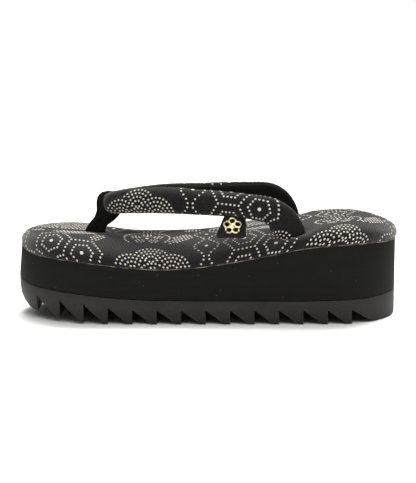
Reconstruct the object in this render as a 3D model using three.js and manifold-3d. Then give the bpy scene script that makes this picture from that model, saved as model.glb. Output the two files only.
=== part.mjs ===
// A platform setta, the left sandal of a pair, in millimetres with +Z up.
// +X runs from toe to heel, -Y is the outer side of the foot, and the teeth stand on z = 0.
import * as THREE from "three";
import { mergeVertices } from "three/addons/utils/BufferGeometryUtils.js";
import Module from "manifold-3d";

// Overall sizes
const LENGTH = 245;
const BALL_WIDTH = 92;
const HEEL_WIDTH = 91;
const SEAT_GAP = 0.3; // air between pieces that are glued or sewn together

// Plan outline: an ellipse round the toe, an ellipse round the heel and a taper between them
const HALF_LENGTH = LENGTH / 2;
const TOE_ARC = 54;
const HEEL_ARC = 45;
const TOE_CENTRE = TOE_ARC - HALF_LENGTH;
const HEEL_CENTRE = HALF_LENGTH - HEEL_ARC;
const TAPER_START = 10;
const OUTLINE_POINTS = 128;

// Heights along the sole, a row for each cross-section from toe to heel: glue is where the midsole
// sits on the outsole, seam is the footbed's lower edge, top is the crown of the footbed, shoulder is
// how far in its rounded edge reaches, and bulge is how full that edge is
const SECTIONS = [
  { x: -122.5, glue: 25, seam: 45.2, top: 53.9, shoulder: 8, bulge: 1 },
  { x: -115, glue: 22.6, seam: 42.9, top: 54.5, shoulder: 9, bulge: 1.2 },
  { x: -98, glue: 20.7, seam: 41, top: 54.6, shoulder: 16, bulge: 1.6 },
  { x: -82, glue: 19.2, seam: 39.7, top: 54.2, shoulder: 34, bulge: 2 },
  { x: -65, glue: 17.4, seam: 37.7, top: 52.7, shoulder: 42, bulge: 2.4 },
  { x: -48, glue: 16, seam: 35.9, top: 51.3, shoulder: 43, bulge: 2.8 },
  { x: -27, glue: 15.3, seam: 34.9, top: 51.2, shoulder: 43, bulge: 3 },
  { x: 0, glue: 15.2, seam: 37, top: 52.3, shoulder: 42, bulge: 3 },
  { x: 20, glue: 15, seam: 40.3, top: 54.7, shoulder: 36, bulge: 3 },
  { x: 40, glue: 14.9, seam: 44, top: 58, shoulder: 25, bulge: 3 },
  { x: 60, glue: 14.8, seam: 48, top: 60.4, shoulder: 17, bulge: 2.8 },
  { x: 80, glue: 15.4, seam: 50, top: 62.1, shoulder: 13, bulge: 2.6 },
  { x: 100, glue: 15.9, seam: 50.6, top: 63.5, shoulder: 14, bulge: 2.6 },
  { x: 122.5, glue: 17.3, seam: 49.7, top: 62.2, shoulder: 21, bulge: 3.4 },
];

// How far each level of the side wall stands back from the full length, at the toe and at the heel;
// the outsole's levels run from the tread up, and up is their share of its height
const SEAM_WALL = { toe: 1.6, heel: 1 };
const GLUE_WALL = { toe: 0, heel: 1 };
const OUTSOLE_LEVELS = [
  { up: 0, toe: 5.2, heel: 1.2 },
  { up: 0.2, toe: 2.5, heel: 1 },
  { up: 0.4, toe: 0.9, heel: 1 },
  { up: 0.65, toe: 0.1, heel: 1 },
  { up: 1, ...GLUE_WALL },
];
const WALL_BEND = 60; // the toe and heel set-back fades out this far from the middle

// Tread: full-width sawteeth with an upright wall behind each foot, lifted at the toe and a little
// under the heel block, so that the sandal stands on its teeth
const TOE_SPRING = 6;
const SPRING_START = -38;
const SPRING_CURVE = 1.5;
const HEEL_LIFT = 1;
const TOOTH_COUNT = 14;
const TOOTH_PITCH = 15.3;
const TOOTH_DEPTH = 8.9;
const TOE_BITE = { more: 2.5, from: 40, to: 95 }; // notches cut deeper towards the toe
const TOOTH_SLOPE = 12.4; // length of a notch, from its wall to the next foot
const LAST_WALL = 90.3; // x of the wall nearest the heel
const CUT_REACH = 1.4; // a notch's slope is cut on past the tread by this factor

// Footbed: a pillow, crowned under the ball, with a rolled shoulder and a shallow dish at the heel
const SHOULDER_STEPS = 9;
const DISH = 1.4;
const DISH_STEPS = 4;
const DISH_REACH = 44.5; // the dish ends this far in from the edge
const SLOT_DENT = { x: 50, y: 38, deep: 4, along: 13, across: 9 };

// One arm of the strap, a row for each cross-section from the front bend to the slot in the footbed:
// y is the distance from the middle, tall and thick are the section's axes, lean tips its top inwards
const STRAP_ARM = [
  { x: -65.6, y: 2.4, z: 71.6, tall: 11, thick: 6.8, lean: 0 },
  { x: -61.4, y: 5.6, z: 71.9, tall: 14.2, thick: 10.6, lean: 2 },
  { x: -50, y: 11.6, z: 73.5, tall: 16, thick: 12, lean: 8 },
  { x: -30, y: 19, z: 75, tall: 17, thick: 12.6, lean: 13 },
  { x: -10, y: 25, z: 74.8, tall: 16.6, thick: 12.6, lean: 15 },
  { x: 10, y: 29.6, z: 74, tall: 15.8, thick: 12, lean: 15 },
  { x: 26, y: 32.8, z: 72.6, tall: 15.6, thick: 11, lean: 12 },
  { x: 38.5, y: 35, z: 70.3, tall: 16.8, thick: 9.6, lean: 8 },
  { x: 45.5, y: 36.2, z: 65.6, tall: 18.8, thick: 8.2, lean: 4 },
  { x: 50, y: 36.8, z: 59.2, tall: 19.8, thick: 7.2, lean: 0 },
  { x: 52.2, y: 37, z: 53, tall: 20, thick: 6.6, lean: 0 },
  { x: 53, y: 37, z: 49.8, tall: 20, thick: 6.6, lean: 0 },
];
const STRAP_ROWS = STRAP_ARM.map((row, number) => ({ ...row, number }));
const STRAP_SIDES = 18;
const STRAP_STEPS_PER_ROW = 3;
const INNER_SWAY = 2.4; // the inner arm runs lower than the outer one at the front, higher at the rear

// Toe post: side outline of the velvet loop, from its foot in the footbed round the strap and back
const POST_OUTLINE = [
  { x: -79.8, z: 47 },
  { x: -79.6, z: 53.6 },
  { x: -77.4, z: 57.4 },
  { x: -73.8, z: 61.6 },
  { x: -72.2, z: 66 },
  { x: -72.3, z: 72 },
  { x: -71.3, z: 75.6 },
  { x: -68.8, z: 77.8 },
  { x: -64.6, z: 78.6 },
  { x: -60, z: 78 },
  { x: -57, z: 74.6 },
  { x: -56, z: 68 },
  { x: -57.4, z: 63 },
  { x: -61, z: 59.4 },
  { x: -65.4, z: 56.2 },
  { x: -66.9, z: 53 },
  { x: -67.1, z: 47 },
];
const POST_WIDTH = 9;
const POST_ROUND = 1.8;

// Side tab: a flap sewn under the outer arm, tipped outwards, wider at its lower edge
const TAB = { top: 13.5, bottom: 18.6, high: 15.4, thick: 1.4, corner: 2 };
const TAB_HANG = { x: 17, y: -33.2, z: 66.6, tip: 37 }; // middle of its sewn edge, tip in degrees
const TAB_TUCK = 3; // length that runs up to the strap
// Button: reach and waist are the radii of its petals' tips and of the nicks between them
const BUTTON = { petals: 5, reach: 6.1, waist: 4.7, thick: 1.2, bevel: 0.3, down: 8.2, shift: -1.8 };
const BUTTON_HOLE = { radius: 1.45, out: 3.55 };
const BUTTON_SIDES = 60;

const MERGE_DISTANCE = 1e-4;
const FINISHES = {
  rubber: { color: "#3a3936", roughness: 0.8 },
  foam: { color: "#21211d", roughness: 0.85 },
  cloth: { color: "#343335", roughness: 0.9 },
  velvet: { color: "#141412", roughness: 1 },
  gold: { color: "#c9b27c", roughness: 0.3, metalness: 1 },
};

const wasm = await Module();
wasm.setup();

// A smooth curve through one column of a table, read by another column
function curveThrough(table, key, name) {
  const stops = table.map((row) => row[key]);
  const values = table.map((row) => row[name]);
  const curve = new THREE.CubicInterpolant(stops, values, 1);
  return (at) => curve.evaluate(at)[0];
}

const glueAt = curveThrough(SECTIONS, "x", "glue");
const seamAt = curveThrough(SECTIONS, "x", "seam");
const topAt = curveThrough(SECTIONS, "x", "top");
const shoulderAt = curveThrough(SECTIONS, "x", "shoulder");
const bulgeAt = curveThrough(SECTIONS, "x", "bulge");
const strapTallAt = curveThrough(STRAP_ROWS, "number", "tall");
const strapThickAt = curveThrough(STRAP_ROWS, "number", "thick");
const strapLeanAt = curveThrough(STRAP_ROWS, "number", "lean");

function treadAt(x) {
  const share = Math.max(0, (SPRING_START - x) / (SPRING_START + HALF_LENGTH));
  const heel = THREE.MathUtils.smoothstep(x, LAST_WALL, LAST_WALL + TOOTH_SLOPE);
  return TOE_SPRING * share ** SPRING_CURVE + HEEL_LIFT * heel;
}

function halfWidth(x) {
  const taper = THREE.MathUtils.smoothstep(x, TAPER_START, HEEL_CENTRE);
  const straight = THREE.MathUtils.lerp(BALL_WIDTH, HEEL_WIDTH, taper) / 2;
  const round = Math.max(0, (TOE_CENTRE - x) / TOE_ARC, (x - HEEL_CENTRE) / HEEL_ARC);
  return straight * Math.sqrt(Math.max(0, 1 - round * round));
}

// The plan outline from the toe tip, along the outer side to the heel and back
function outline() {
  return Array.from({ length: OUTLINE_POINTS }, (_, i) => {
    const turn = (2 * Math.PI * i) / OUTLINE_POINTS;
    const x = -HALF_LENGTH * Math.cos(turn);
    return new THREE.Vector2(x, -Math.sign(Math.sin(turn)) * halfWidth(x));
  });
}

// The outline moved back at toe and heel by what one level of the wall asks
function setBack(point, level) {
  const toe = THREE.MathUtils.smoothstep(-point.x, WALL_BEND, HALF_LENGTH);
  const heel = THREE.MathUtils.smoothstep(point.x, WALL_BEND, HALF_LENGTH);
  return new THREE.Vector2(point.x + toe * level.toe - heel * level.heel, point.y);
}

function wallRing(level, heightOf) {
  return outline().map((point) => {
    const { x, y } = setBack(point, level);
    return new THREE.Vector3(x, y, heightOf(x));
  });
}

// A closed solid through rings of equally many points, each closed at both ends by a strip across it
function loft(rings) {
  const count = rings[0].length;
  const top = (rings.length - 1) * count;
  const index = [];
  for (let start = 0; start < top; start += count) {
    for (let i = 0; i < count; i += 1) {
      const j = (i + 1) % count;
      index.push(start + i, start + j, start + count + j);
      index.push(start + i, start + count + j, start + count + i);
    }
  }
  for (let i = 0; i < count / 2; i += 1) {
    const across = (count - i) % count;
    const next = count - i - 1;
    if (next !== i + 1) {
      index.push(top + i, top + i + 1, top + next);
      index.push(i, next, i + 1);
    }
    if (across !== i) {
      index.push(top + i, top + next, top + across);
      index.push(i, across, next);
    }
  }
  const positions = rings.flat().flatMap((point) => point.toArray());
  const geometry = new THREE.BufferGeometry();
  geometry.setAttribute("position", new THREE.Float32BufferAttribute(positions, 3));
  geometry.setIndex(index);
  return geometry;
}

function solidOf(geometry) {
  const bare = new THREE.BufferGeometry();
  bare.setAttribute("position", geometry.getAttribute("position"));
  bare.setIndex(geometry.getIndex());
  const merged = mergeVertices(bare, MERGE_DISTANCE);
  const vertProperties = merged.getAttribute("position").array;
  const triVerts = new Uint32Array(merged.getIndex().array);
  return new wasm.Manifold(new wasm.Mesh({ numProp: 3, vertProperties, triVerts }));
}

function geometryOf(solid) {
  const mesh = solid.getMesh();
  const geometry = new THREE.BufferGeometry();
  geometry.setAttribute("position", new THREE.BufferAttribute(mesh.vertProperties, mesh.numProp));
  geometry.setIndex(new THREE.BufferAttribute(mesh.triVerts, 1));
  geometry.computeVertexNormals();
  return geometry;
}

// A side outline in x and z, extruded over a width in y about the middle of the sandal
function extrudeAcross(shape, width, bevel) {
  const depth = width - 2 * bevel;
  const geometry = new THREE.ExtrudeGeometry(shape, {
    depth,
    curveSegments: 4,
    bevelEnabled: bevel > 0,
    bevelThickness: bevel,
    bevelSize: bevel,
    bevelOffset: -bevel,
    bevelSegments: 2,
  });
  return geometry.rotateX(Math.PI / 2).translate(0, depth / 2, 0);
}

function toothNotch(wall) {
  const bite = TOE_BITE.more * THREE.MathUtils.smoothstep(-wall, TOE_BITE.from, TOE_BITE.to);
  const apex = new THREE.Vector2(wall, treadAt(wall) + TOOTH_DEPTH + bite);
  const foot = new THREE.Vector2(wall + TOOTH_SLOPE, treadAt(wall + TOOTH_SLOPE));
  const end = apex.clone().lerp(foot, CUT_REACH);
  const shape = new THREE.Shape([apex, new THREE.Vector2(wall, end.y), end]);
  return solidOf(extrudeAcross(shape, 2 * BALL_WIDTH, 0));
}

function outsole() {
  const top = (x) => glueAt(x) - SEAT_GAP;
  const rings = OUTSOLE_LEVELS.map((level) =>
    wallRing(level, (x) => THREE.MathUtils.lerp(treadAt(x), top(x), level.up)),
  );
  let solid = solidOf(loft(rings));
  for (let tooth = 0; tooth < TOOTH_COUNT; tooth += 1) {
    solid = solid.subtract(toothNotch(LAST_WALL - tooth * TOOTH_PITCH));
  }
  return geometryOf(solid);
}

function midsole() {
  const bottom = wallRing(GLUE_WALL, (x) => glueAt(x));
  const top = wallRing(SEAM_WALL, (x) => seamAt(x) - SEAT_GAP);
  return loft([bottom, top]);
}

// How far the footbed is pressed in round the slots for the strap's ends
function dentAt(x, y) {
  const along = (x - SLOT_DENT.x) / SLOT_DENT.along;
  const across = (Math.abs(y) - SLOT_DENT.y) / SLOT_DENT.across;
  return SLOT_DENT.deep * Math.exp(-along * along - across * across);
}

// A point of the footbed's skin over one outline point: inset from the edge, rise from seam to top
function skinPoint(edge, inset, rise, sink) {
  const x = edge.x * (1 - inset / HALF_LENGTH);
  const y = edge.y * (1 - (2 * inset) / BALL_WIDTH);
  const seam = seamAt(edge.x);
  const high = topAt(x) - dentAt(x, y) - sink;
  return new THREE.Vector3(x, y, THREE.MathUtils.lerp(seam, high, rise));
}

function footbedRings() {
  const edges = outline().map((point) => setBack(point, SEAM_WALL));
  const shoulder = Array.from({ length: SHOULDER_STEPS }, (_, step) => {
    const turn = (step / (SHOULDER_STEPS - 1)) * (Math.PI / 2);
    return edges.map((edge) => {
      const bulge = bulgeAt(edge.x) * Math.sin(2 * turn);
      const inset = shoulderAt(edge.x) * (1 - Math.cos(turn)) - bulge;
      return skinPoint(edge, inset, Math.sin(turn), 0);
    });
  });
  const dish = Array.from({ length: DISH_STEPS }, (_, step) => {
    const share = (step + 1) / DISH_STEPS;
    return edges.map((edge) => {
      const start = shoulderAt(edge.x);
      const inset = THREE.MathUtils.lerp(start, DISH_REACH, share);
      const sink = DISH * Math.sin((share * Math.PI) / 2) * (1 - start / DISH_REACH);
      return skinPoint(edge, inset, 1, sink);
    });
  });
  return [...shoulder, ...dish];
}

// One ring of a strap arm at row number t; side is -1 for the outer arm and 1 for the inner one
function strapRing(path, side, t, grow) {
  const share = t / (STRAP_ARM.length - 1);
  const push = share > 0 && share < 1 ? 0 : grow * Math.sign(share - 0.5);
  const along = path.getTangent(share);
  const upright = new THREE.Vector3(0, 0, 1).addScaledVector(along, -along.z).normalize();
  upright.applyAxisAngle(along, side * THREE.MathUtils.degToRad(strapLeanAt(t)));
  const outwards = along.clone().cross(upright);
  const tall = strapTallAt(t) / 2 + grow;
  const thick = strapThickAt(t) / 2 + grow;
  const centre = path.getPoint(share).addScaledVector(along, push);
  return Array.from({ length: STRAP_SIDES }, (_, i) => {
    const turn = (2 * Math.PI * i) / STRAP_SIDES;
    const point = centre.clone().addScaledVector(upright, tall * Math.cos(turn));
    return point.addScaledVector(outwards, thick * Math.sin(turn));
  });
}

function strapArm(side, grow) {
  const last = STRAP_ARM.length - 1;
  const sway = side > 0 ? INNER_SWAY : 0;
  const stops = STRAP_ARM.map(({ x, y, z }, row) => {
    const drop = sway * Math.sin((2 * Math.PI * row) / last);
    return new THREE.Vector3(x, side * y, z - drop);
  });
  const path = new THREE.CatmullRomCurve3(stops, false, "catmullrom");
  const steps = last * STRAP_STEPS_PER_ROW;
  const rings = Array.from({ length: steps + 1 }, (_, i) =>
    strapRing(path, side, i / STRAP_STEPS_PER_ROW, grow),
  );
  return solidOf(loft(rings));
}

// Both arms joined where they meet at the front; grow makes the larger form that cuts room for them
function strapSolid(grow) {
  return strapArm(-1, grow).add(strapArm(1, grow));
}

function postSolid(grow) {
  const points = POST_OUTLINE.map(({ x, z }) => new THREE.Vector2(x, z));
  const shape = new THREE.Shape(points);
  return solidOf(extrudeAcross(shape, POST_WIDTH + 2 * grow, POST_ROUND));
}

function strap() {
  return geometryOf(strapSolid(0));
}

function toePost() {
  return geometryOf(postSolid(0).subtract(strapSolid(SEAT_GAP)));
}

function footbed() {
  const pad = solidOf(loft(footbedRings()));
  return geometryOf(pad.subtract(strapSolid(SEAT_GAP)).subtract(postSolid(SEAT_GAP)));
}

// Places a piece drawn in the tab's own plane, x along the strap and y up, onto the sandal
function hangOnStrap(geometry) {
  const tip = THREE.MathUtils.degToRad(TAB_HANG.tip);
  return geometry.rotateX(Math.PI / 2 - tip).translate(TAB_HANG.x, TAB_HANG.y, TAB_HANG.z);
}

function sideTab() {
  const right = TAB.top / 2;
  const left = right - TAB.bottom;
  const shape = new THREE.Shape();
  shape.moveTo(right, TAB_TUCK);
  shape.lineTo(-right, TAB_TUCK);
  shape.lineTo(-right, 0);
  shape.lineTo(left, TAB.corner - TAB.high);
  shape.quadraticCurveTo(left, -TAB.high, left + TAB.corner, -TAB.high);
  shape.lineTo(right - TAB.corner, -TAB.high);
  shape.quadraticCurveTo(right, -TAB.high, right, TAB.corner - TAB.high);
  const sheet = new THREE.ExtrudeGeometry(shape, {
    depth: TAB.thick,
    bevelEnabled: false,
    curveSegments: 4,
  });
  return geometryOf(solidOf(hangOnStrap(sheet)).subtract(strapSolid(SEAT_GAP)));
}

// An openwork button: a five-petalled outline with a round hole in each petal
function tabButton() {
  const { petals, reach, waist, thick, bevel } = BUTTON;
  const points = Array.from({ length: BUTTON_SIDES }, (_, i) => {
    const turn = (2 * Math.PI * i) / BUTTON_SIDES;
    const swell = Math.abs(Math.cos((petals * turn) / 2));
    const radius = THREE.MathUtils.lerp(waist, reach, swell);
    return new THREE.Vector2(radius * Math.sin(turn), radius * Math.cos(turn));
  });
  const shape = new THREE.Shape(points);
  for (let petal = 0; petal < petals; petal += 1) {
    const turn = (2 * Math.PI * petal) / petals;
    const hole = new THREE.Path();
    const middle = new THREE.Vector2(Math.sin(turn), Math.cos(turn)).multiplyScalar(BUTTON_HOLE.out);
    hole.absarc(middle.x, middle.y, BUTTON_HOLE.radius, 0, 2 * Math.PI);
    shape.holes.push(hole);
  }
  const button = new THREE.ExtrudeGeometry(shape, {
    depth: thick - 2 * bevel,
    curveSegments: 7,
    bevelThickness: bevel,
    bevelSize: bevel,
    bevelOffset: -bevel,
    bevelSegments: 2,
  });
  button.translate(BUTTON.shift, -BUTTON.down, TAB.thick + SEAT_GAP + bevel);
  return geometryOf(solidOf(hangOnStrap(button)));
}

function piece(name, geometry, finish) {
  const mesh = new THREE.Mesh(geometry, new THREE.MeshStandardMaterial(FINISHES[finish]));
  mesh.name = name;
  return mesh;
}

const sandal = new THREE.Group();
sandal.add(
  piece("outsole", outsole(), "rubber"),
  piece("midsole", midsole(), "foam"),
  piece("footbed", footbed(), "cloth"),
  piece("strap", strap(), "cloth"),
  piece("toe_post", toePost(), "velvet"),
  piece("side_tab", sideTab(), "cloth"),
  piece("tab_button", tabButton(), "gold"),
);

export default sandal;
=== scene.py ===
"""Looks of the platform setta: cloth cover and print, strap, velvet loop, sole, floor, lights and camera."""

import math

import bmesh
import bpy
import numpy as np
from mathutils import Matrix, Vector
from mathutils.bvhtree import BVHTree
from mathutils.geometry import barycentric_transform


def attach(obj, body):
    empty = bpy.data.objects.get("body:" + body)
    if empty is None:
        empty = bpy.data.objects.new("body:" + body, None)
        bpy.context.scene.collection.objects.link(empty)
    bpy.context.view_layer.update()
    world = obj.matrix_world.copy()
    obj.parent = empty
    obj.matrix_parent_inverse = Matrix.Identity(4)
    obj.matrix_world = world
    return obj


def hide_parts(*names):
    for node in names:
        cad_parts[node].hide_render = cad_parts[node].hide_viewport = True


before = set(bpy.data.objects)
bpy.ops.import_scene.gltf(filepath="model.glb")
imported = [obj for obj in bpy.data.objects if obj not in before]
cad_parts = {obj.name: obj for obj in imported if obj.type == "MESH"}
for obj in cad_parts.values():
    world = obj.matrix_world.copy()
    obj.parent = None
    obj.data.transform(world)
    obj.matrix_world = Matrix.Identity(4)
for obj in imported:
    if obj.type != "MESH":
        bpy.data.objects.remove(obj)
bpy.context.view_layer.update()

# Sizes are in millimetres and turns in radians where no other unit is named; meshes are made in metres.
# +X runs from toe to heel, and -Y is the outer side.
MM = 0.001
QUARTER = math.pi / 2
FULL_TURN = 2 * math.pi
TINY = 1e-9  # keeps a division away from zero

# Plan outline of the sole
HALF_LENGTH = 122.5
BALL_WIDTH = 92
HEEL_WIDTH = 91
TOE_ARC = 54
HEEL_ARC = 45
TOE_CENTRE = TOE_ARC - HALF_LENGTH
HEEL_CENTRE = HALF_LENGTH - HEEL_ARC
TAPER_START = 10
WALL_BEND = 60
SEAM_BACK_TOE = 1.6
SEAM_BACK_HEEL = 1

# Footbed, a row for each cross-section: x, seam height, crown height, depth and fullness of its shoulder
SECTIONS = np.array([
    (-122.5, 45.2, 53.9, 8, 1.0),
    (-115, 42.9, 54.5, 9, 1.2),
    (-98, 41, 54.6, 16, 1.6),
    (-82, 39.7, 54.2, 34, 2.0),
    (-65, 37.7, 52.7, 42, 2.4),
    (-48, 35.9, 51.3, 43, 2.8),
    (-27, 34.9, 51.2, 43, 3.0),
    (0, 37, 52.3, 42, 3.0),
    (20, 40.3, 54.7, 36, 3.0),
    (40, 44, 58, 25, 3.0),
    (60, 48, 60.4, 17, 2.8),
    (80, 50, 62.1, 13, 2.6),
    (100, 50.6, 63.5, 14, 2.6),
    (122.5, 49.7, 62.2, 21, 3.4),
])
SECTION_X, *SECTION_COLUMNS = SECTIONS.T
DISH = 1.4
DISH_REACH = 44.5
SLOT_DENT = {"x": 50, "y": 38, "deep": 4, "along": 13, "across": 9}
RIM_POINTS = 400
SHOULDER_ROWS = 34
DISH_ROWS = 16
PAD_SPINE = {"share": 0.9, "high": 30}  # a line inside the pad: its share of the length, and its height

# Where the cloth turns down into a slot or hole: middle, half length, half width, depth and softness
SLOT_TUCK = {"x": 52.6, "y": 37, "along": 10.2, "across": 3.5, "deep": 0.6, "soft": 1.5}
POST_TUCK = {"x": -73.6, "y": 0, "along": 7.0, "across": 4.7, "deep": 0.2, "soft": 1.2}

# Soft troughs (deep above zero) and ridges (below zero) in the footbed cloth, on the outer half in
# unrolled plan millimetres: two ends, width and depth; the inner half mirrors them
FOOTBED_CREASES = [
    {"start": (43, -42), "end": (29, -51), "wide": 2.6, "deep": 0.45},
    {"start": (47, -45), "end": (40, -58), "wide": 2.8, "deep": -0.4},
    {"start": (52, -44), "end": (51, -59), "wide": 2.4, "deep": 0.5},
    {"start": (58, -44), "end": (65, -57), "wide": 2.8, "deep": -0.4},
    {"start": (63, -41), "end": (76, -48), "wide": 2.6, "deep": 0.4},
    {"start": (42, -34), "end": (28, -28), "wide": 3.0, "deep": 0.35},
    {"start": (63, -34), "end": (76, -27), "wide": 3.0, "deep": 0.35},
    {"start": (-81, -4), "end": (-93, -9), "wide": 2.6, "deep": 0.3},
    {"start": (-72, -6), "end": (-69, -18), "wide": 2.6, "deep": 0.3},
]
# Shares of a crease's run over which it deepens, from before its start, and fades out, to past its end
CREASE_RISE = (-0.25, 0.2)
CREASE_FADE = (0.45, 1.15)

# One arm of the strap, from the front bend to the slot: x, y, z, tall, thick, lean in degrees
STRAP_ARM = np.array([
    (-65.6, 2.4, 71.6, 11, 6.8, 0),
    (-61.4, 5.6, 71.9, 14.2, 10.6, 2),
    (-50, 11.6, 73.5, 16, 12, 8),
    (-30, 19, 75, 17, 12.6, 13),
    (-10, 25, 74.8, 16.6, 12.6, 15),
    (10, 29.6, 74, 15.8, 12, 15),
    (26, 32.8, 72.6, 15.6, 11, 12),
    (38.5, 35, 70.3, 16.8, 9.6, 8),
    (45.5, 36.2, 65.6, 18.8, 8.2, 4),
    (50, 36.8, 59.2, 19.8, 7.2, 0),
    (52.2, 37, 53, 20, 6.6, 0),
    (53, 37, 49.8, 20, 6.6, 0),
])
ARM_PATH, ARM_SIZES = np.hsplit(STRAP_ARM, [3])
INNER_SWAY = 2.4
ARM_ROWS = 220
ARM_POINTS = 96
ARM_END_ROWS = 4
ARM_END_LENGTH = 0.9
ARM_END_GAP = 0.5  # share of a row between the last ring of a rounded end and its tip
ARM_PARTING = 0.12  # the two arms stay this far from the middle plane where they press together
TOP_SEAM = math.radians(113)  # where cloth and lining meet, from the middle of the outer face
LOW_SEAM = math.radians(-106)
SEAM_GROOVE = {"wide": 0.75, "deep": 0.5}

# Soft troughs and ridges on the strap, in millimetres along it and round it from its outer middle
STRAP_CREASES = [
    {"start": (108, -7), "end": (111, -19), "wide": 1.5, "deep": 0.6},
    {"start": (112, -6), "end": (115, -20), "wide": 1.6, "deep": -0.5},
    {"start": (115.5, -5), "end": (118, -20), "wide": 1.5, "deep": 0.7},
    {"start": (119, -4), "end": (121.5, -19), "wide": 1.6, "deep": -0.45},
    {"start": (122.5, -3), "end": (124.5, -17), "wide": 1.5, "deep": 0.45},
    {"start": (9, 3), "end": (24, 6), "wide": 1.6, "deep": 0.45},
    {"start": (9, -1), "end": (28, -1.5), "wide": 1.7, "deep": -0.35},
    {"start": (9, -5), "end": (22, -9), "wide": 1.6, "deep": 0.45},
    {"start": (60, 12), "end": (74, 6), "wide": 3.0, "deep": 0.3},
    {"start": (84, -12), "end": (96, -5), "wide": 3.0, "deep": 0.3},
]

# Printed dots, sizes on the flat cloth
DOT = 0.68
BIG_DOT = 1.25
LINE_STEP = 2.65
FIELD_STEP = 2.55
DOT_SIDES = 12
DOT_RINGS = [(0.62, 0.1), (1.0, -0.03)]  # share of the radius, height over the cloth
DOT_CROWN = 0.13
CLEARANCE = 2.1  # least distance between dots of different motifs
FAN_RADIUS = 12.6
FAN_PLACES = [(-1, 0), (1, 0), (0, 0.5), (-1, 1), (1, 1), (0, 1.5)]  # in fan radii, lowest row first
CELL_SIDES = 6
CELL_RADIUS = 13
INNER_CELL = 0.55  # share of the outer cell's radius
PETALS = 5

# One tile of the print and where each motif lies in it, and the tiles on each cloth
TILE = (122, 70)
FOOTBED_TILE_START = (-183, -70)
FOOTBED_TILES = (3, 2)
STRAP_TILE_START = (1, -26)
STRAP_TILES = (2, 1)
WAVES = (25, 3)
STREAM = {"along": 60, "half": 4.6, "swing": 3.1, "wave": 23.3}
CELLS = [(84, 14), (84, 36.5), (103.5, 25.3)]
BLOSSOM = {"middle": (22, 52), "radius": 10, "turn": 0.3}
BLOSSOM_ARC = {"middle": (22, 52), "radius": 14.5, "start": -0.6, "sweep": 4.4}
LEAVES = [
    {"middle": (112, 6.5), "half_long": 6.5, "half_wide": 4.5, "turn": 0.5},
    {"middle": (44, 51), "half_long": 13, "half_wide": 6, "turn": 0.75},
    {"middle": (98, 56), "half_long": 15, "half_wide": 7, "turn": -0.3},
    {"middle": (113, 44), "half_long": 6, "half_wide": 4, "turn": 0.9},
    {"middle": (72, 62), "half_long": 6, "half_wide": 4, "turn": 0.4},
]

# Toe post velvet; its fold's ends are x and z
POST_VOXEL = 0.45
POST_SMOOTHING = 8  # passes
POST_FOLD = {"start": (-73.4, 53), "end": (-65.2, 65), "wide": 1.3, "deep": 0.7}

# Tab, how it hangs with its tip in degrees, and its stitches
TAB = {"top": 13.5, "bottom": 18.6, "high": 15.4, "thick": 1.4}
TAB_HANG = {"x": 17, "y": -33.2, "z": 66.6, "tip": 37}
STITCH = {"inset": 1.5, "step": 2.1, "long": 1.5, "thick": 0.42}
STITCH_DETAIL = 2

# Edges of the pieces made from solids, and the raw cloth edge along the seam
SOLE_ROUND = 0.45
TAB_ROUND = 0.4
BUTTON_ROUND = 0.1
ROUND_STEPS = 2
ROUND_PROFILE = 0.5  # a circular arc
WELD = 0.001  # points closer than this are one
FLAT_ANGLE = math.radians(0.6)  # faces that meet at less are joined
SHARP_ANGLE = math.radians(24)  # edges sharper than this are rounded
SHADE_ANGLE = math.radians(32)  # edges still sharper than this stay crisp
EDGE_THREAD = 0.21
EDGE_SIDES = 6

# Colours as they look in even white light
CLOTH_DARK = "#080808"
CLOTH_LIGHT = "#232222"
CLOTH_SHEEN_TINT = "#e6e2dc"
INK_DARK = "#aea699"
INK_LIGHT = "#d5cec1"
FOAM_DARK = "#10100c"
FOAM_LIGHT = "#151511"
DUST = "#4b4a43"
RUBBER_DARK = "#1a1916"
RUBBER_LIGHT = "#302f2c"
VELVET_DARK = "#0c0c0b"
VELVET_LIGHT = "#1b1b19"
VELVET_SHEEN_TINT = "#55554f"
TAB_DARK = "#151514"
TAB_LIGHT = "#252523"
THREAD_DARK = "#171718"
THREAD_LIGHT = "#272728"
GOLD_DARK = "#55462a"
GOLD_LIGHT = "#d6c79d"
RAW_EDGE_DARK = "#2a2825"
RAW_EDGE_LIGHT = "#978a75"
FLOOR_DARK = "#f1f1f0"
FLOOR_LIGHT = "#f6f6f5"

# Finish of the cloth, foam and tape
FOOTBED_SHEEN = 0.46
STRAP_SHEEN = 0.32
WEAVE_PITCH = 0.62
WEAVE_TONE = 0.16  # how much the weave shows in the cloth's colour
SPECK = {"step": 5, "reach": 0.35}  # dust on the foam, spacing and radius
TAPE_WAVE = 5.5  # scale of the rib texture, in which a rib is about a third as wide

# Camera, from the photo's perspective
CAMERA_PLACE = (0, -963, 197.87)
CAMERA_PITCH = 0.157
FOCAL_PIXELS = 1496.85
IMAGE_HEIGHT = 483  # pixels
SENSOR_HEIGHT = 24

# Floor and light; the lamps' places and sizes are in metres
FLOOR_SIZE = 60000
SKY_STRENGTH = 1.3
# Height of the direction looked in and brightness; the horizon is white like the floor
SKY_SHADES = [(0, 0.85), (0.02, 0.85), (0.04, 0.1), (0.5, 0.2), (1, 1)]
KEY_LIGHT = {"place": (0.12, 0.5, 1), "spread": math.radians(40), "strength": 5}
FILL_LIGHT = {"place": (0.1, -0.9, 1.3), "size": 0.8, "power": 6.5}


# Shape helpers

def smoothstep(value, low, high):
    share = np.clip((value - low) / (high - low), 0, 1)
    return share * share * (3 - 2 * share)


def unit(vectors):
    """Vectors brought to length one."""
    return vectors / np.maximum(np.linalg.norm(vectors, axis=-1, keepdims=True), TINY)


def turned(first, second, turn):
    """Two coordinates of a plane, turned about its origin."""
    cosine = math.cos(turn)
    sine = math.sin(turn)
    return first * cosine - second * sine, first * sine + second * cosine


def on_circle(middle, radius, turn):
    return middle[0] + radius * math.cos(turn), middle[1] + radius * math.sin(turn)


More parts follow.
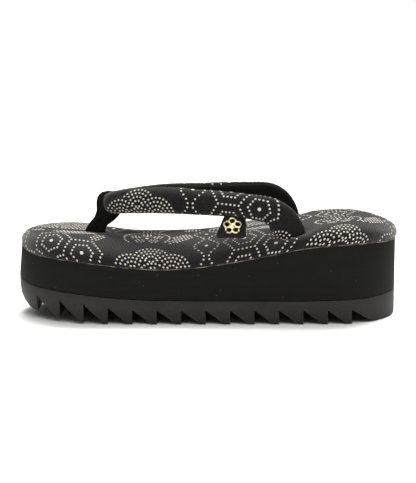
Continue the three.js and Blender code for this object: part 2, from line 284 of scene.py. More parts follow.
def between(start, end, share):
    """The point of a plane at this share of the way from start to end."""
    return start[0] + (end[0] - start[0]) * share, start[1] + (end[1] - start[1]) * share


def curve_through(stops, values, free_ends=False):
    """A smooth curve through table values; its slope at a row is the mean of the slopes beside it."""
    secants = np.diff(values) / np.diff(stops)
    slopes = np.zeros(len(stops))
    slopes[1:-1] = (secants[:-1] + secants[1:]) / 2
    if free_ends:
        slopes[0] = secants[0]
        slopes[-1] = secants[-1]

    def at(place):
        place = np.clip(place, stops[0], stops[-1])
        row = np.clip(np.searchsorted(stops, place, side="right") - 1, 0, len(stops) - 2)
        span = stops[row + 1] - stops[row]
        share = (place - stops[row]) / span
        rest = 1 - share
        ends = values[row] * (1 + 2 * share) * rest**2 + values[row + 1] * (3 - 2 * share) * share**2
        bends = slopes[row] * share * rest**2 - slopes[row + 1] * rest * share**2
        return ends + bends * span

    return at


def creases_at(creases, along, across):
    """How deep a set of soft troughs and ridges is at points of the flat cloth."""
    deep = np.zeros_like(along)
    for crease in creases:
        start = np.array(crease["start"], float)
        run = np.array(crease["end"], float) - start
        length = np.hypot(*run)
        offset_along = along - start[0]
        offset_across = across - start[1]
        share = (offset_along * run[0] + offset_across * run[1]) / length**2
        side = (offset_along * run[1] - offset_across * run[0]) / length
        fade = smoothstep(share, *CREASE_RISE) * (1 - smoothstep(share, *CREASE_FADE))
        deep += crease["deep"] * fade * np.exp(-((side / crease["wide"]) ** 2))
    return deep


def grid_normals(points, closed):
    """Normals of a grid of points whose rows are closed rings or open lines."""
    if closed:
        along_row = np.roll(points, -1, axis=1) - np.roll(points, 1, axis=1)
    else:
        along_row = np.gradient(points, axis=1)
    return unit(np.cross(along_row, np.gradient(points, axis=0)))


def ring_faces(rows, count):
    """Quads between neighbouring rings of a grid."""
    faces = []
    for row in range(rows - 1):
        for i in range(count):
            j = (i + 1) % count
            low = row * count
            faces.append((low + i, low + j, low + count + j, low + count + i))
    return faces


def cap_faces(start, count):
    """A strip across a long closed ring whose points mirror each other about its ends."""
    faces = [(start, start + 1, start + count - 1)]
    for i in range(1, count // 2 - 1):
        faces.append((start + i, start + i + 1, start + count - i - 1, start + count - i))
    half = count // 2
    faces.append((start + half - 1, start + half, start + half + 1))
    return faces


def store_flat(mesh, flat):
    """Keeps each point's place on the unrolled cloth as texture coordinates in metres."""
    corners = np.empty(len(mesh.loops), dtype=int)
    mesh.loops.foreach_get("vertex_index", corners)
    layer = mesh.uv_layers.new(name="flat")
    layer.data.foreach_set("uv", (np.asarray(flat) * MM)[corners].ravel())


def face_outwards(mesh):
    shape = bmesh.new()
    shape.from_mesh(mesh)
    bmesh.ops.recalc_face_normals(shape, faces=shape.faces)
    shape.to_mesh(mesh)
    shape.free()


def link_piece(name, mesh):
    """A smooth-shaded object of a mesh."""
    mesh.shade_smooth()
    piece = bpy.data.objects.new(name, mesh)
    bpy.context.collection.objects.link(piece)
    return piece


def mesh_piece(name, points, faces, materials, flat=None, face_materials=None):
    """A new object from points in millimetres; flat gives each point's place on the unrolled cloth."""
    mesh = bpy.data.meshes.new(name)
    mesh.from_pydata((np.asarray(points, float) * MM).tolist(), [], faces)
    for finish in materials:
        mesh.materials.append(finish)
    if face_materials is not None:
        mesh.polygons.foreach_set("material_index", face_materials)
    if flat is not None:
        store_flat(mesh, flat)
    face_outwards(mesh)
    return link_piece(name, mesh)


# Material helpers

def linear(code):
    """A web colour as linear red, green, blue and full opacity, by the sRGB curve."""
    parts = [int(code[i:i + 2], 16) / 255 for i in (1, 3, 5)]
    return [p / 12.92 if p <= 0.04045 else ((p + 0.055) / 1.055) ** 2.4 for p in parts] + [1]


def new_material(name, **sockets):
    """A material whose Principled shader has the given fixed values, with its tree and shader."""
    material = bpy.data.materials.new(name)
    material.use_nodes = True
    tree = material.node_tree
    shader = tree.nodes["Principled BSDF"]
    for key, value in sockets.items():
        shader.inputs[key.replace("_", " ")].default_value = value
    return material, tree, shader


def node(tree, kind, inputs=None, **settings):
    """A node with its settings, and with each named input joined to a socket or given a value."""
    made = tree.nodes.new(kind)
    for key, value in settings.items():
        setattr(made, key, value)
    for key, value in (inputs or {}).items():
        if isinstance(value, bpy.types.NodeSocket):
            tree.links.new(value, made.inputs[key])
        else:
            made.inputs[key].default_value = value
    return made


def math_node(tree, operation, first, second=0.0):
    return node(tree, "ShaderNodeMath", {0: first, 1: second}, operation=operation).outputs[0]


def blend(tree, first, second, share=0.5):
    """Two heights mixed, with this share of the first."""
    weighed = math_node(tree, "MULTIPLY", first, share)
    rest = math_node(tree, "MULTIPLY", second, 1 - share)
    return math_node(tree, "ADD", weighed, rest)


def places(tree, stretch=(1, 1, 1)):
    """The object's own coordinates, in metres, scaled on each axis."""
    coordinates = node(tree, "ShaderNodeTexCoord").outputs["Object"]
    return node(tree, "ShaderNodeMapping", {"Vector": coordinates, "Scale": stretch}).outputs[0]


def noise(tree, vector, grain, detail=3.0):
    """Even noise whose grains are about this many millimetres across."""
    inputs = {"Vector": vector, "Scale": 1 / (grain * MM), "Detail": detail}
    return node(tree, "ShaderNodeTexNoise", inputs).outputs["Fac"]


def specks(tree, step, reach):
    """Scattered specks of this spacing and radius in millimetres: 1 in their middle, 0 between them."""
    scatter = node(tree, "ShaderNodeTexVoronoi", {"Vector": places(tree), "Scale": 1 / (step * MM)})
    edge = reach / step
    inputs = {"Value": scatter.outputs["Distance"], "From Min": edge, "From Max": edge / 2}
    return node(tree, "ShaderNodeMapRange", inputs).outputs[0]


def weave(tree, pitch):
    """Height of a plain weave laid on the flat cloth, from -1 to 1."""
    flat = node(tree, "ShaderNodeUVMap", uv_map="flat").outputs[0]
    split = node(tree, "ShaderNodeSeparateXYZ", {0: flat})
    turns = FULL_TURN / (pitch * MM)
    warp = math_node(tree, "SINE", math_node(tree, "MULTIPLY", split.outputs[0], turns))
    weft = math_node(tree, "SINE", math_node(tree, "MULTIPLY", split.outputs[1], turns))
    return math_node(tree, "MULTIPLY", warp, weft)


def colour_ramp(tree, tone, dark, light, low, high):
    """Colour that goes from dark to light as the tone goes from low to high."""
    ramp = node(tree, "ShaderNodeValToRGB", {"Fac": tone})
    first, last = ramp.color_ramp.elements
    first.position = low
    first.color = linear(dark)
    last.position = high
    last.color = linear(light)
    return ramp.outputs["Color"]


def paint(tree, shader, tone, dark, light, low=0.3, high=0.7):
    """Gives a shader its colour by a tone."""
    tree.links.new(colour_ramp(tree, tone, dark, light, low, high), shader.inputs["Base Color"])


def bump(tree, shader, height, distance, strength, below=None):
    """Relief of this height in millimetres; below is the normal of a coarser relief under it."""
    inputs = {"Height": height, "Distance": distance * MM, "Strength": strength}
    if below is not None:
        inputs["Normal"] = below
    normal = node(tree, "ShaderNodeBump", inputs).outputs["Normal"]
    tree.links.new(normal, shader.inputs["Normal"])
    return normal


# Materials

def cloth_material(name, sheen):
    """Charcoal cotton: a plain weave with slubs, lighter and darker in broad patches."""
    material, tree, shader = new_material(
        name,
        Roughness=0.92,
        Specular_IOR_Level=0.12,
        Sheen_Weight=sheen,
        Sheen_Roughness=0.42,
        Sheen_Tint=linear(CLOTH_SHEEN_TINT),
    )
    threads = weave(tree, WEAVE_PITCH)
    slubs = noise(tree, places(tree), grain=1.1)
    patches = noise(tree, places(tree), grain=24)
    fine = math_node(tree, "ADD", math_node(tree, "MULTIPLY", threads, WEAVE_TONE), slubs)
    tone = blend(tree, patches, fine, share=0.35)
    paint(tree, shader, tone, CLOTH_DARK, CLOTH_LIGHT, low=0.25, high=0.8)
    coarse = bump(tree, shader, slubs, distance=0.2, strength=0.7)
    bump(tree, shader, threads, distance=0.08, strength=0.7, below=coarse)
    return material


def ink_material():
    """Off-white print, a little worn."""
    material, tree, shader = new_material("dot_print", Roughness=0.7)
    grain = noise(tree, places(tree), grain=0.5)
    wear = noise(tree, places(tree), grain=9)
    paint(tree, shader, blend(tree, grain, wear), INK_DARK, INK_LIGHT)
    bump(tree, shader, grain, distance=0.06, strength=0.6)
    return material


def foam_material():
    """Black foam with level streaks, fine cells and a few specks of dust."""
    material, tree, shader = new_material("black_foam", Roughness=0.78, Specular_IOR_Level=0.12)
    streaks = noise(tree, places(tree, stretch=(0.07, 0.07, 1.6)), grain=2.2)
    cells = noise(tree, places(tree), grain=0.5)
    tone = blend(tree, streaks, cells, share=0.75)
    bare = colour_ramp(tree, tone, FOAM_DARK, FOAM_LIGHT, low=0.25, high=0.8)
    dusted = {"Fac": specks(tree, **SPECK), "Color1": bare, "Color2": linear(DUST)}
    tree.links.new(node(tree, "ShaderNodeMixRGB", dusted).outputs["Color"], shader.inputs["Base Color"])
    coarse = bump(tree, shader, streaks, distance=0.04, strength=0.3)
    bump(tree, shader, cells, distance=0.09, strength=0.5, below=coarse)
    return material


def rubber_material():
    """Dark grey rubber, cloudy in colour and gloss."""
    material, tree, shader = new_material("grey_rubber", Specular_IOR_Level=0.25)
    clouds = noise(tree, places(tree, stretch=(0.4, 0.4, 1)), grain=7)
    grain = noise(tree, places(tree), grain=0.6)
    paint(tree, shader, blend(tree, clouds, grain), RUBBER_DARK, RUBBER_LIGHT)
    rough = node(tree, "ShaderNodeMapRange", {"Value": clouds, "To Min": 0.5, "To Max": 0.74}).outputs[0]
    tree.links.new(rough, shader.inputs["Roughness"])
    bump(tree, shader, grain, distance=0.08, strength=0.4)
    return material


def velvet_material():
    """Black velvet with a short, brushed nap."""
    material, tree, shader = new_material(
        "black_velvet",
        Roughness=1.0,
        Specular_IOR_Level=0.1,
        Sheen_Weight=0.4,
        Sheen_Roughness=0.3,
        Sheen_Tint=linear(VELVET_SHEEN_TINT),
    )
    nap = noise(tree, places(tree), grain=0.45)
    brushed = noise(tree, places(tree, stretch=(1, 1, 0.5)), grain=5)
    paint(tree, shader, blend(tree, nap, brushed), VELVET_DARK, VELVET_LIGHT)
    bump(tree, shader, nap, distance=0.18, strength=0.8)
    return material


def tape_material(name, dark, light):
    """Woven tape or thread: ribs under a little fuzz."""
    material, tree, shader = new_material(name, Roughness=0.9, Specular_IOR_Level=0.12)
    waves = {"Vector": places(tree), "Scale": 1 / (TAPE_WAVE * MM), "Distortion": 1.2, "Detail": 1.0}
    ribs = node(tree, "ShaderNodeTexWave", waves, bands_direction="X").outputs["Fac"]
    fuzz = noise(tree, places(tree), grain=0.5)
    tone = blend(tree, ribs, fuzz)
    paint(tree, shader, tone, dark, light)
    bump(tree, shader, tone, distance=0.12, strength=0.6)
    return material


def gold_material():
    """Pale gold metal, slightly uneven and dark in its hollows."""
    material, tree, shader = new_material("pale_gold", Metallic=1.0, Roughness=0.28)
    hammer = noise(tree, places(tree), grain=1.4, detail=1.0)
    paint(tree, shader, hammer, GOLD_DARK, GOLD_LIGHT)
    bump(tree, shader, hammer, distance=0.5, strength=0.6)
    return material


def raw_edge_material():
    """The cloth's cut edge, dark with pale frayed stretches."""
    material, tree, shader = new_material("raw_cloth_edge", Roughness=0.95)
    fray = noise(tree, places(tree), grain=6, detail=4.0)
    paint(tree, shader, fray, RAW_EDGE_DARK, RAW_EDGE_LIGHT, low=0.44, high=0.66)
    bump(tree, shader, noise(tree, places(tree), grain=0.6), distance=0.15, strength=0.7)
    return material


def floor_material():
    material, tree, shader = new_material("pale_floor", Roughness=0.9)
    mottle = noise(tree, places(tree), grain=80)
    paint(tree, shader, mottle, FLOOR_DARK, FLOOR_LIGHT)
    return material


# Footbed

seam_at, top_at, shoulder_at, fullness_at = [curve_through(SECTION_X, column) for column in SECTION_COLUMNS]


def half_width(x):
    """Half of the sole's width at a place along it."""
    straight = (BALL_WIDTH + (HEEL_WIDTH - BALL_WIDTH) * smoothstep(x, TAPER_START, HEEL_CENTRE)) / 2
    bend = np.maximum(0, np.maximum((TOE_CENTRE - x) / TOE_ARC, (x - HEEL_CENTRE) / HEEL_ARC))
    return straight * np.sqrt(np.maximum(0, 1 - bend**2))


def seam_edge():
    """The footbed's lower edge in plan, from the toe tip along the outer side and back."""
    turn = np.arange(RIM_POINTS) * FULL_TURN / RIM_POINTS
    x = -HALF_LENGTH * np.cos(turn)
    y = -np.sign(np.sin(turn)) * half_width(x)
    toe = smoothstep(-x, WALL_BEND, HALF_LENGTH)
    heel = smoothstep(x, WALL_BEND, HALF_LENGTH)
    return x + toe * SEAM_BACK_TOE - heel * SEAM_BACK_HEEL, y


def dent_at(x, y):
    """How far the pad is pressed in round the slots for the strap's ends."""
    along = (x - SLOT_DENT["x"]) / SLOT_DENT["along"]
    across = (np.abs(y) - SLOT_DENT["y"]) / SLOT_DENT["across"]
    return SLOT_DENT["deep"] * np.exp(-along**2 - across**2)


def tuck_at(tuck, x, y):
    """How far the cloth is drawn down beside a slot or hole."""
    reach = np.hypot((x - tuck["x"]) / tuck["along"], (np.abs(y) - tuck["y"]) / tuck["across"])
    away = np.maximum(0, reach - 1) * tuck["across"]
    return tuck["deep"] * np.exp(-((away / tuck["soft"]) ** 2))


def skin_row(edge_x, edge_y, inset, rise, sink):
    """One ring of the footbed's skin, inset from the edge and risen from the seam to the sunken crown."""
    x = edge_x * (1 - inset / HALF_LENGTH)
    y = edge_y * (1 - 2 * inset / BALL_WIDTH)
    tucks = tuck_at(SLOT_TUCK, x, y) + tuck_at(POST_TUCK, x, y)
    seam = seam_at(edge_x)
    high = top_at(x) - dent_at(x, y) - tucks - sink
    return np.stack([x, y, seam + (high - seam) * rise], axis=1)


def footbed_grid():
    """Rings of points from the seam up over the shoulder and in across the dished crown."""
    edge_x, edge_y = seam_edge()
    shoulder = shoulder_at(edge_x)
    rows = []
    for turn in np.linspace(0, QUARTER, SHOULDER_ROWS):
        inset = shoulder * (1 - np.cos(turn)) - fullness_at(edge_x) * np.sin(2 * turn)
        rows.append(skin_row(edge_x, edge_y, inset, np.sin(turn), 0))
    for share in np.linspace(0, 1, DISH_ROWS)[1:]:
        inset = shoulder + (DISH_REACH - shoulder) * share
        sink = DISH * np.sin(QUARTER * share) * (1 - shoulder / DISH_REACH)
        rows.append(skin_row(edge_x, edge_y, inset, 1, sink))
    return np.array(rows)


def unroll_footbed(points):
    """Each point's place on the flat cloth: plan places on top, carried outwards over the shoulder."""
    flat = points[:, :, :2].copy()
    brow = SHOULDER_ROWS - 1
    outward = unit(points[0, :, :2] - points[brow, :, :2])
    steps = np.linalg.norm(np.diff(points[:SHOULDER_ROWS], axis=0), axis=2)
    reach = np.cumsum(steps[::-1], axis=0)[::-1]
    flat[:brow] = flat[brow] + outward * reach[:, :, None]
    return flat


def footbed_surface():
    """The creased skin of the footbed, and its points' places on the flat cloth."""
    points = footbed_grid()
    flat = unroll_footbed(points)
    deep = creases_at(FOOTBED_CREASES, flat[:, :, 0], -np.abs(flat[:, :, 1]))
    normals = grid_normals(points, True)
    normals *= np.sign(normals[-1, 0, 2])
    deep[0] = 0
    return points - normals * deep[:, :, None], flat


def footbed_cover(points, flat, cloth):
    rows, count = points.shape[:2]
    faces = ring_faces(rows, count)
    faces += cap_faces(0, count)
    faces += cap_faces((rows - 1) * count, count)
    return mesh_piece("footbed_cover", points.reshape(-1, 3), faces, [cloth], flat.reshape(-1, 2))


def raw_edge(points, finish):
    """The cut edge of the cloth, a thin thread along the seam."""
    rim = points[0]
    count = len(rim)
    ahead = np.roll(rim, -1, axis=0) - np.roll(rim, 1, axis=0)
    outward = unit(np.stack([-ahead[:, 1], ahead[:, 0], np.zeros(count)], axis=1))
    outward *= np.sign((outward[:, :2] * rim[:, :2]).sum(axis=1))[:, None]
    rings = []
    for side in range(EDGE_SIDES):
        turn = FULL_TURN * side / EDGE_SIDES
        ring = rim + outward * EDGE_THREAD * math.cos(turn)
        ring[:, 2] += EDGE_THREAD * (math.sin(turn) - 1)
        rings.append(ring)
    faces = ring_faces(EDGE_SIDES + 1, count)
    faces = [[corner % (EDGE_SIDES * count) for corner in face] for face in faces]
    return mesh_piece("raw_edge", np.concatenate(rings), faces, [finish])


# Strap, where side is -1 for the outer arm and 1 for the inner one

def arm_frames(side):
    """Middle line of one arm, the axes of its cross-sections, and half their height and thickness."""
    rows = np.arange(len(STRAP_ARM), dtype=float)
    steps = np.linspace(0, rows[-1], ARM_ROWS)
    stops = ARM_PATH * (1, side, 1)
    if side > 0:
        stops[:, 2] -= INNER_SWAY * np.sin(FULL_TURN * rows / rows[-1])
    centre = np.stack([curve_through(rows, column, True)(steps) for column in stops.T], axis=1)
    tall, thick, lean = [curve_through(rows, column)(steps) for column in ARM_SIZES.T]
    along = unit(np.gradient(centre, axis=0))
    upright = unit(np.array([0, 0, 1]) - along * along[:, 2:])
    tip = side * np.radians(lean)[:, None]
    upright = upright * np.cos(tip) + np.cross(along, upright) * np.sin(tip)
    outward = -side * np.cross(along, upright)
    return centre, along, upright, outward, tall / 2, thick / 2


def unroll_arm(centre, points):
    """Each point's place on the flat cloth: along the arm, and round it from its outer middle."""
    steps = np.linalg.norm(np.diff(centre, axis=0), axis=1)
    length = np.concatenate([[0], np.cumsum(steps)])
    girth = np.linalg.norm(np.roll(points, -1, axis=1) - points, axis=2)
    around = np.concatenate([np.zeros((ARM_ROWS, 1)), np.cumsum(girth, axis=1)[:, :-1]], axis=1)
    around -= around[:, [ARM_POINTS // 2]]
    return np.stack([np.repeat(length[:, None], ARM_POINTS, axis=1), around], axis=2)


def groove_at(around, column):
    """How deep the groove is along a seam of cloth and lining, which follows a column of the grid."""
    away = around - around[:, [column]]
    return SEAM_GROOVE["deep"] * np.exp(-((away / SEAM_GROOVE["wide"]) ** 2))


def part_arms(side, points):
    """Keeps an arm's points on its own side of the middle plane."""
    points[:, :, 1] = side * np.maximum(side * points[:, :, 1], ARM_PARTING)
    return points


def arm_surface(side):
    """One arm's skin as a grid, its flat places, its cloth columns, its middle line and its front heading."""
    centre, along, upright, outward, tall, thick = arm_frames(side)
    turns = np.linspace(-math.pi, math.pi, ARM_POINTS, endpoint=False)
    reach = outward[:, None, :] * (thick[:, None] * np.cos(turns))[:, :, None]
    reach += upright[:, None, :] * (tall[:, None] * np.sin(turns))[:, :, None]
    points = centre[:, None, :] + reach
    flat = unroll_arm(centre, points)
    deep = creases_at(STRAP_CREASES, flat[:, :, 0], flat[:, :, 1])
    for seam in (TOP_SEAM, LOW_SEAM):
        deep += groove_at(flat[:, :, 1], np.argmin(np.abs(turns - seam)))
    points = part_arms(side, points - unit(reach) * deep[:, :, None])
    is_cloth = (turns > LOW_SEAM) & (turns < TOP_SEAM)
    return points, flat, is_cloth, centre, along[0]


def arm_end(ring, heading):
    """Rings that round off an arm's front end."""
    middle = ring.mean(axis=0)
    rings = []
    for step in range(ARM_END_ROWS, 0, -1):
        turn = QUARTER * step / (ARM_END_ROWS + ARM_END_GAP)
        rings.append(middle + (ring - middle) * math.cos(turn) - heading * ARM_END_LENGTH * math.sin(turn))
    return np.array(rings)


def strap_arm(side, cloth, lining):
    """One arm of the strap, with the grid of its cloth face, its flat places and its middle line."""
    points, flat, is_cloth, centre, heading = arm_surface(side)
    front = part_arms(side, arm_end(points[0], heading))
    grid = np.concatenate([front, points])
    grid_flat = np.concatenate([np.repeat(flat[:1], len(front), axis=0), flat])
    rows = len(grid)
    faces = ring_faces(rows, ARM_POINTS)
    finish_row = np.where(is_cloth & np.roll(is_cloth, -1), 0, 1)
    finishes = np.tile(finish_row, rows - 1).tolist()
    faces.append(tuple(range(ARM_POINTS)))
    faces.append(tuple(range((rows - 1) * ARM_POINTS, rows * ARM_POINTS)))
    finishes += [0, 0]
    name = "strap_outer_arm" if side < 0 else "strap_inner_arm"
    arm = mesh_piece(name, grid.reshape(-1, 3), faces, [cloth, lining], grid_flat.reshape(-1, 2), finishes)
    columns = np.flatnonzero(is_cloth)
    return arm, points[:, columns], flat[:, columns], centre


# Print: motifs are lists of dots (along, across, radius) on the flat cloth

def arc_dots(middle, radius, step, start=0.0, sweep=FULL_TURN):
    """Dots along an arc, both of its ends included unless it is a whole ring."""
    count = max(1, round(radius * sweep / step))
    extra = 0 if sweep >= FULL_TURN else 1
    return [(*on_circle(middle, radius, start + sweep * i / count), DOT) for i in range(count + extra)]


def line_dots(start, end):
    """Dots along a line, without its far end."""
    count = max(1, round(math.dist(start, end) / LINE_STEP))
    return [(*between(start, end, i / count), DOT) for i in range(count)]


def wave_scales(middle):
    """Overlapping fans of concentric arcs; each row hides part of the fans behind it."""
    dots = []
    fronts = []
    for along, across in FAN_PLACES:
        hub = (middle[0] + along * FAN_RADIUS, middle[1] + across * FAN_RADIUS)
        radius = FAN_RADIUS - FIELD_STEP / 2
        while radius > 0:
            arc = arc_dots(hub, radius, FIELD_STEP, 0, math.pi)
            dots += [d for d in arc if all(math.dist(d[:2], f) > FAN_RADIUS for f in fronts)]
            radius -= FIELD_STEP
        fronts.append(hub)
    return dots


def tortoise_cell(middle):
    """A tortoiseshell cell: a hexagon, a smaller one inside it and a large dot in the middle."""
    dots = [(*middle, BIG_DOT)]
    for radius in (CELL_RADIUS, CELL_RADIUS * INNER_CELL):
        corners = [on_circle(middle, radius, k * FULL_TURN / CELL_SIDES) for k in range(CELL_SIDES)]
        for corner, following in zip(corners, corners[1:] + corners[:1]):
            dots += line_dots(corner, following)
    return dots


def blossom(middle, radius, turn):
    """A plum blossom: five petals, each a ring of dots round one, about a large heart."""
    dots = [(*middle, BIG_DOT)]
    for k in range(PETALS):
        bearing = turn + k * FULL_TURN / PETALS
        hub = on_circle(middle, radius - FIELD_STEP, bearing)
        dots.append((*hub, DOT))
        dots += arc_dots(hub, FIELD_STEP, FIELD_STEP, bearing)
    return dots


def leaf_field(middle, half_long, half_wide, turn):
    """A leaf-shaped patch of close dots in staggered rows."""
    dots = []
    row_step = FIELD_STEP * math.sqrt(3) / 2
    rows = int(half_wide / row_step)
    columns = int(half_long / FIELD_STEP) + 1
    for row in range(-rows, rows + 1):
        shift = FIELD_STEP / 2 if row % 2 else 0
        for column in range(-columns, columns + 1):
            along = column * FIELD_STEP + shift
            across = row * row_step
            if (along / half_long) ** 2 + (across / half_wide) ** 2 > 1:
                continue
            u, v = turned(along, across, turn)
            dots.append((middle[0] + u, middle[1] + v, DOT))
    return dots


def rising_stream():
    """Two wavy lines up the tile that swell apart and close, with a large dot in each swelling."""
    dots = []
    along = STREAM["along"]
    count = round(TILE[1] / LINE_STEP)
    for i in range(count):
        across = TILE[1] * i / count
        half = STREAM["half"] - STREAM["swing"] * math.cos(FULL_TURN * across / STREAM["wave"])
        dots += [(along - half, across, DOT), (along + half, across, DOT)]
    for swelling in range(round(TILE[1] / STREAM["wave"])):
        dots.append((along, (swelling + 0.5) * STREAM["wave"], BIG_DOT))
    return dots


def tile_dots():
    """One repeat of the print; a later motif gives way where it comes too close to an earlier one."""
    motifs = [wave_scales(WAVES), rising_stream()]
    motifs += [tortoise_cell(middle) for middle in CELLS]
    motifs += [blossom(**BLOSSOM), arc_dots(step=LINE_STEP, **BLOSSOM_ARC)]
    motifs += [leaf_field(**leaf) for leaf in LEAVES]
    kept = []
    for motif in motifs:
        kept += [d for d in motif if all(math.dist(d[:2], other[:2]) > CLEARANCE for other in kept)]
    return kept


def print_dots(start, tiles):
    """Repeats of the tile; every other row is moved half a tile along."""
    tile = tile_dots()
    dots = []
    for column in range(-1, tiles[0]):
        for row in range(tiles[1]):
            left = start[0] + (column + row % 2 / 2) * TILE[0]
            low = start[1] + row * TILE[1]
            dots += [(u + left, v + low, radius) for u, v, radius in tile]
    return dots


def flat_triangles(rows, count, closed):
    """Triangles of a grid; where its rows are closed rings, a cap fills the last one."""
    triangles = []
    for row in range(rows - 1):
        for i in range(count if closed else count - 1):
            a = row * count + i
            b = row * count + (i + 1) % count
            triangles.append((a, b, b + count))
            triangles.append((a, b + count, a + count))
    if closed:
        for face in cap_faces((rows - 1) * count, count):
            triangles += [(face[0], *pair) for pair in zip(face[1:], face[2:])]
    return triangles


def lay_on(points, flat, closed, inside):
    """A function that puts a place of the flat cloth, and a height over it, on the shaped cloth."""
    rows, count = points.shape[:2]
    normals = grid_normals(points, closed)
    normals = normals * np.sign(((points - inside) * normals).sum(axis=2))[:, :, None]
    shaped = [Vector(p) for p in points.reshape(-1, 3)]
    leaning = [Vector(n) for n in normals.reshape(-1, 3)]
    laid = [Vector((u, v, 0)) for u, v in flat.reshape(-1, 2)]
    triangles = flat_triangles(rows, count, closed)
    finder = BVHTree.FromPolygons(laid, triangles)

    def lay(u, v, height):
        found = finder.ray_cast(Vector((u, v, 1)), Vector((0, 0, -1)))[2]
        if found is None:
            return None
        corners = triangles[found]
        place = Vector((u, v, 0))
        flats = [laid[c] for c in corners]
        point = barycentric_transform(place, *flats, *[shaped[c] for c in corners])
        normal = barycentric_transform(place, *flats, *[leaning[c] for c in corners])
        return point + normal.normalized() * height

    return lay


def raised_dots(name, dots, lay, ink):
    """All the dots that fit on the cloth, as low domes in one mesh."""
    points = []
    faces = []
    for u, v, radius in dots:
        dome = [lay(u, v, DOT_CROWN)]
        for share, height in DOT_RINGS:
            for side in range(DOT_SIDES):
                place = on_circle((u, v), radius * share, FULL_TURN * side / DOT_SIDES)
                dome.append(lay(*place, height))
        if any(p is None for p in dome):
            continue
        first = len(points)
        points += [p[:] for p in dome]
        for side in range(DOT_SIDES):
            near = first + 1 + side
            beside = first + 1 + (side + 1) % DOT_SIDES
            faces.append((first, near, beside))
            faces.append((near, near + DOT_SIDES, beside + DOT_SIDES, beside))
    return mesh_piece(name, points, faces, [ink])


# Pieces made from the solids

def rounded_copy(node_name, name, finish, width):
    """A copy of a solid with its sharp edges rounded a little."""
    shape = bmesh.new()
    shape.from_mesh(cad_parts[node_name].data)
    bmesh.ops.remove_doubles(shape, verts=shape.verts, dist=WELD * MM)
    bmesh.ops.dissolve_limit(shape, angle_limit=FLAT_ANGLE, verts=shape.verts, edges=shape.edges)
    sharp = [e for e in shape.edges if e.is_manifold and e.calc_face_angle() > SHARP_ANGLE]
    bmesh.ops.bevel(
        shape,
        geom=sharp,
        offset=width * MM,
        segments=ROUND_STEPS,
        profile=ROUND_PROFILE,
        affect="EDGES",
        clamp_overlap=True,
    )
    bmesh.ops.triangulate(shape, faces=[f for f in shape.faces if len(f.verts) > 4])
    mesh = bpy.data.meshes.new(name)
    shape.to_mesh(mesh)
    shape.free()
    mesh.materials.append(finish)
    piece = link_piece(name, mesh)
    mesh.set_sharp_from_angle(angle=SHADE_ANGLE)
    return piece


def soft_copy(node_name):
    """A solid's mesh with even faces and smoothed edges."""
    rough = bpy.data.objects.new(node_name + "_rough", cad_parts[node_name].data.copy())
    bpy.context.collection.objects.link(rough)
    remesh = rough.modifiers.new("even", "REMESH")
    remesh.mode = "VOXEL"
    remesh.voxel_size = POST_VOXEL * MM
    soften = rough.modifiers.new("soften", "SMOOTH")
    soften.iterations = POST_SMOOTHING
    graph = bpy.context.evaluated_depsgraph_get()
    mesh = bpy.data.meshes.new_from_object(rough.evaluated_get(graph))
    bpy.data.objects.remove(rough)
    return mesh


def velvet_loop(finish):
    """The toe post as soft velvet, with the fold between its two legs pressed in on each side."""
    mesh = soft_copy("toe_post")
    mesh.name = "velvet_loop"
    points = np.empty(len(mesh.vertices) * 3)
    mesh.vertices.foreach_get("co", points)
    points = points.reshape(-1, 3)
    deep = creases_at([POST_FOLD], points[:, 0] / MM, points[:, 2] / MM) * MM
    points[:, 1] -= np.sign(points[:, 1]) * np.minimum(deep, np.abs(points[:, 1]))
    mesh.vertices.foreach_set("co", points.ravel())
    mesh.materials.clear()
    mesh.materials.append(finish)
    return link_piece("velvet_loop", mesh)


# Stitches on the tab, drawn in its plane with x along the strap, y up and z out of it

def hang_on_strap(points):
    """Places points of the tab's plane onto the sandal."""
    x, y, z = np.asarray(points, float).T
    raised_y, raised_z = turned(y, z, QUARTER - math.radians(TAB_HANG["tip"]))
    return np.stack([x + TAB_HANG["x"], raised_y + TAB_HANG["y"], raised_z + TAB_HANG["z"]], axis=1)


def stitch_row(start, end):
    """Middles and headings of a row of stitches."""
    count = round(math.dist(start, end) / STITCH["step"])
    heading = math.atan2(end[1] - start[1], end[0] - start[0])
    return [(*between(start, end, (i + 0.5) / count), heading) for i in range(count)]


def stitch_shell():
    """Points and faces of one long bead."""
    bead = bmesh.new()
    bmesh.ops.create_icosphere(bead, subdivisions=STITCH_DETAIL, radius=1 / 2)
    points = np.array([v.co[:] for v in bead.verts]) * (STITCH["long"], STITCH["thick"], STITCH["thick"])
    faces = [[v.index for v in f.verts] for f in bead.faces]
    bead.free()
    return points, faces


def tab_stitches(finish):
    """A row of stitches along the tab's two sides and its lower edge."""
    inset = STITCH["inset"]
    right = TAB["top"] / 2 - inset
    left = right - TAB["bottom"] + 2 * inset
    low = inset - TAB["high"]
    stitches = stitch_row((inset - TAB["top"] / 2, 0), (left, low))
    stitches += stitch_row((left, low), (right, low))
    stitches += stitch_row((right, low), (right, 0))
    shell, shell_faces = stitch_shell()
    points = []
    faces = []
    for u, v, heading in stitches:
        first = len(points)
        x, y = turned(shell[:, 0], shell[:, 1], heading)
        points += np.stack([u + x, v + y, shell[:, 2] + TAB["thick"]], axis=1).tolist()
        faces += [[first + corner for corner in face] for face in shell_faces]
    return mesh_piece("tab_stitches", hang_on_strap(points), faces, [finish])


# Scene

def build_sole():
    outsole = rounded_copy("outsole", "outsole_unit", rubber_material(), SOLE_ROUND)
    midsole = rounded_copy("midsole", "foam_wedge", foam_material(), SOLE_ROUND)
    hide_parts("outsole")
    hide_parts("midsole")
    return [outsole, midsole]


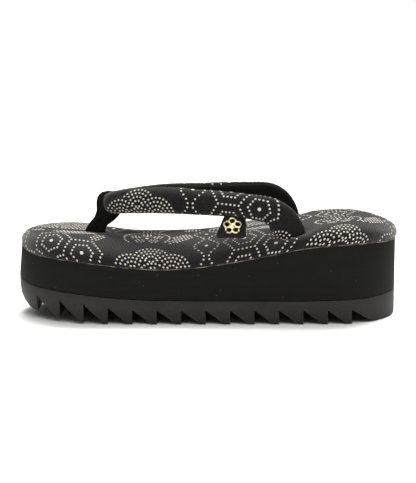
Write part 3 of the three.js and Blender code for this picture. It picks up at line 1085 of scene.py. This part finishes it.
def build_footbed(cloth, ink):
    points, flat = footbed_surface()
    cover = footbed_cover(points, flat, cloth)
    spine = points * (PAD_SPINE["share"], 0, 0) + (0, 0, PAD_SPINE["high"])
    lay = lay_on(points, flat, True, spine)
    dots = print_dots(FOOTBED_TILE_START, FOOTBED_TILES)
    pattern = raised_dots("footbed_print", dots, lay, ink)
    edge = raw_edge(points, raw_edge_material())
    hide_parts("footbed")
    return [cover, pattern, edge]


def build_strap(cloth, ink, lining):
    pieces = []
    for side in (-1, 1):
        arm, points, flat, centre = strap_arm(side, cloth, lining)
        lay = lay_on(points, flat, False, centre[:, None, :])
        dots = print_dots(STRAP_TILE_START, STRAP_TILES)
        name = "strap_outer_print" if side < 0 else "strap_inner_print"
        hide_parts("strap")
        pieces += [arm, raised_dots(name, dots, lay, ink)]
    return pieces


def build_post(velvet):
    loop = velvet_loop(velvet)
    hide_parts("toe_post")
    return [loop]


def build_tab(finish):
    tab = rounded_copy("side_tab", "tab_cloth", finish, TAB_ROUND)
    stitches = tab_stitches(tape_material("tab_thread", THREAD_DARK, THREAD_LIGHT))
    button = rounded_copy("tab_button", "gold_button", gold_material(), BUTTON_ROUND)
    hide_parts("side_tab")
    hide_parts("tab_button")
    return [tab, stitches, button]


def add_floor():
    half = FLOOR_SIZE / 2
    corners = [(-half, -half, 0), (half, -half, 0), (half, half, 0), (-half, half, 0)]
    floor = mesh_piece("floor", corners, [(0, 1, 2, 3)], [floor_material()])


def add_sky():
    """Soft light that comes mostly from overhead."""
    world = bpy.data.worlds.new("studio")
    world.use_nodes = True
    tree = world.node_tree
    heading = node(tree, "ShaderNodeTexCoord").outputs["Generated"]
    height = node(tree, "ShaderNodeSeparateXYZ", {0: heading}).outputs["Z"]
    ramp = node(tree, "ShaderNodeValToRGB", {"Fac": height})
    shades = ramp.color_ramp.elements
    for position, _ in SKY_SHADES[1:-1]:
        shades.new(position)
    for shade, (position, brightness) in zip(shades, SKY_SHADES):
        shade.position = position
        shade.color = (brightness, brightness, brightness, 1)
    sky = tree.nodes["Background"]
    tree.links.new(ramp.outputs["Color"], sky.inputs["Color"])
    sky.inputs["Strength"].default_value = SKY_STRENGTH
    bpy.context.scene.world = world


def hang_lamp(lamp, place):
    """Puts a lamp at a place, turned towards the origin."""
    holder = bpy.data.objects.new(lamp.name, lamp)
    holder.location = place
    holder.rotation_euler = (-Vector(place)).to_track_quat("-Z", "Y").to_euler()
    bpy.context.collection.objects.link(holder)


def add_key():
    """A broad soft light from above and behind."""
    lamp = bpy.data.lights.new("key", "SUN")
    lamp.angle = KEY_LIGHT["spread"]
    lamp.energy = KEY_LIGHT["strength"]
    hang_lamp(lamp, KEY_LIGHT["place"])


def add_fill():
    """A weaker square lamp in front and above, for the side towards the camera."""
    lamp = bpy.data.lights.new("fill", "AREA")
    lamp.shape = "SQUARE"
    lamp.size = FILL_LIGHT["size"]
    lamp.energy = FILL_LIGHT["power"]
    hang_lamp(lamp, FILL_LIGHT["place"])


def add_camera():
    lens = bpy.data.cameras.new("camera")
    lens.sensor_fit = "VERTICAL"
    lens.sensor_height = SENSOR_HEIGHT
    lens.lens = FOCAL_PIXELS * SENSOR_HEIGHT / IMAGE_HEIGHT
    holder = bpy.data.objects.new("camera", lens)
    holder.location = [value * MM for value in CAMERA_PLACE]
    holder.rotation_euler = (QUARTER - CAMERA_PITCH, 0, 0)
    bpy.context.collection.objects.link(holder)
    bpy.context.scene.camera = holder


def build():
    ink = ink_material()
    velvet = velvet_material()
    made = build_sole()
    made += build_footbed(cloth_material("footbed_cloth", FOOTBED_SHEEN), ink)
    made += build_strap(cloth_material("strap_cloth", STRAP_SHEEN), ink, velvet)
    made += build_post(velvet)
    made += build_tab(tape_material("tab_cloth", TAB_DARK, TAB_LIGHT))
    for piece in made:
        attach(piece, "root")
    add_floor()
    add_sky()
    add_key()
    add_fill()
    add_camera()
    bpy.context.scene.view_settings.view_transform = "Standard"


build()
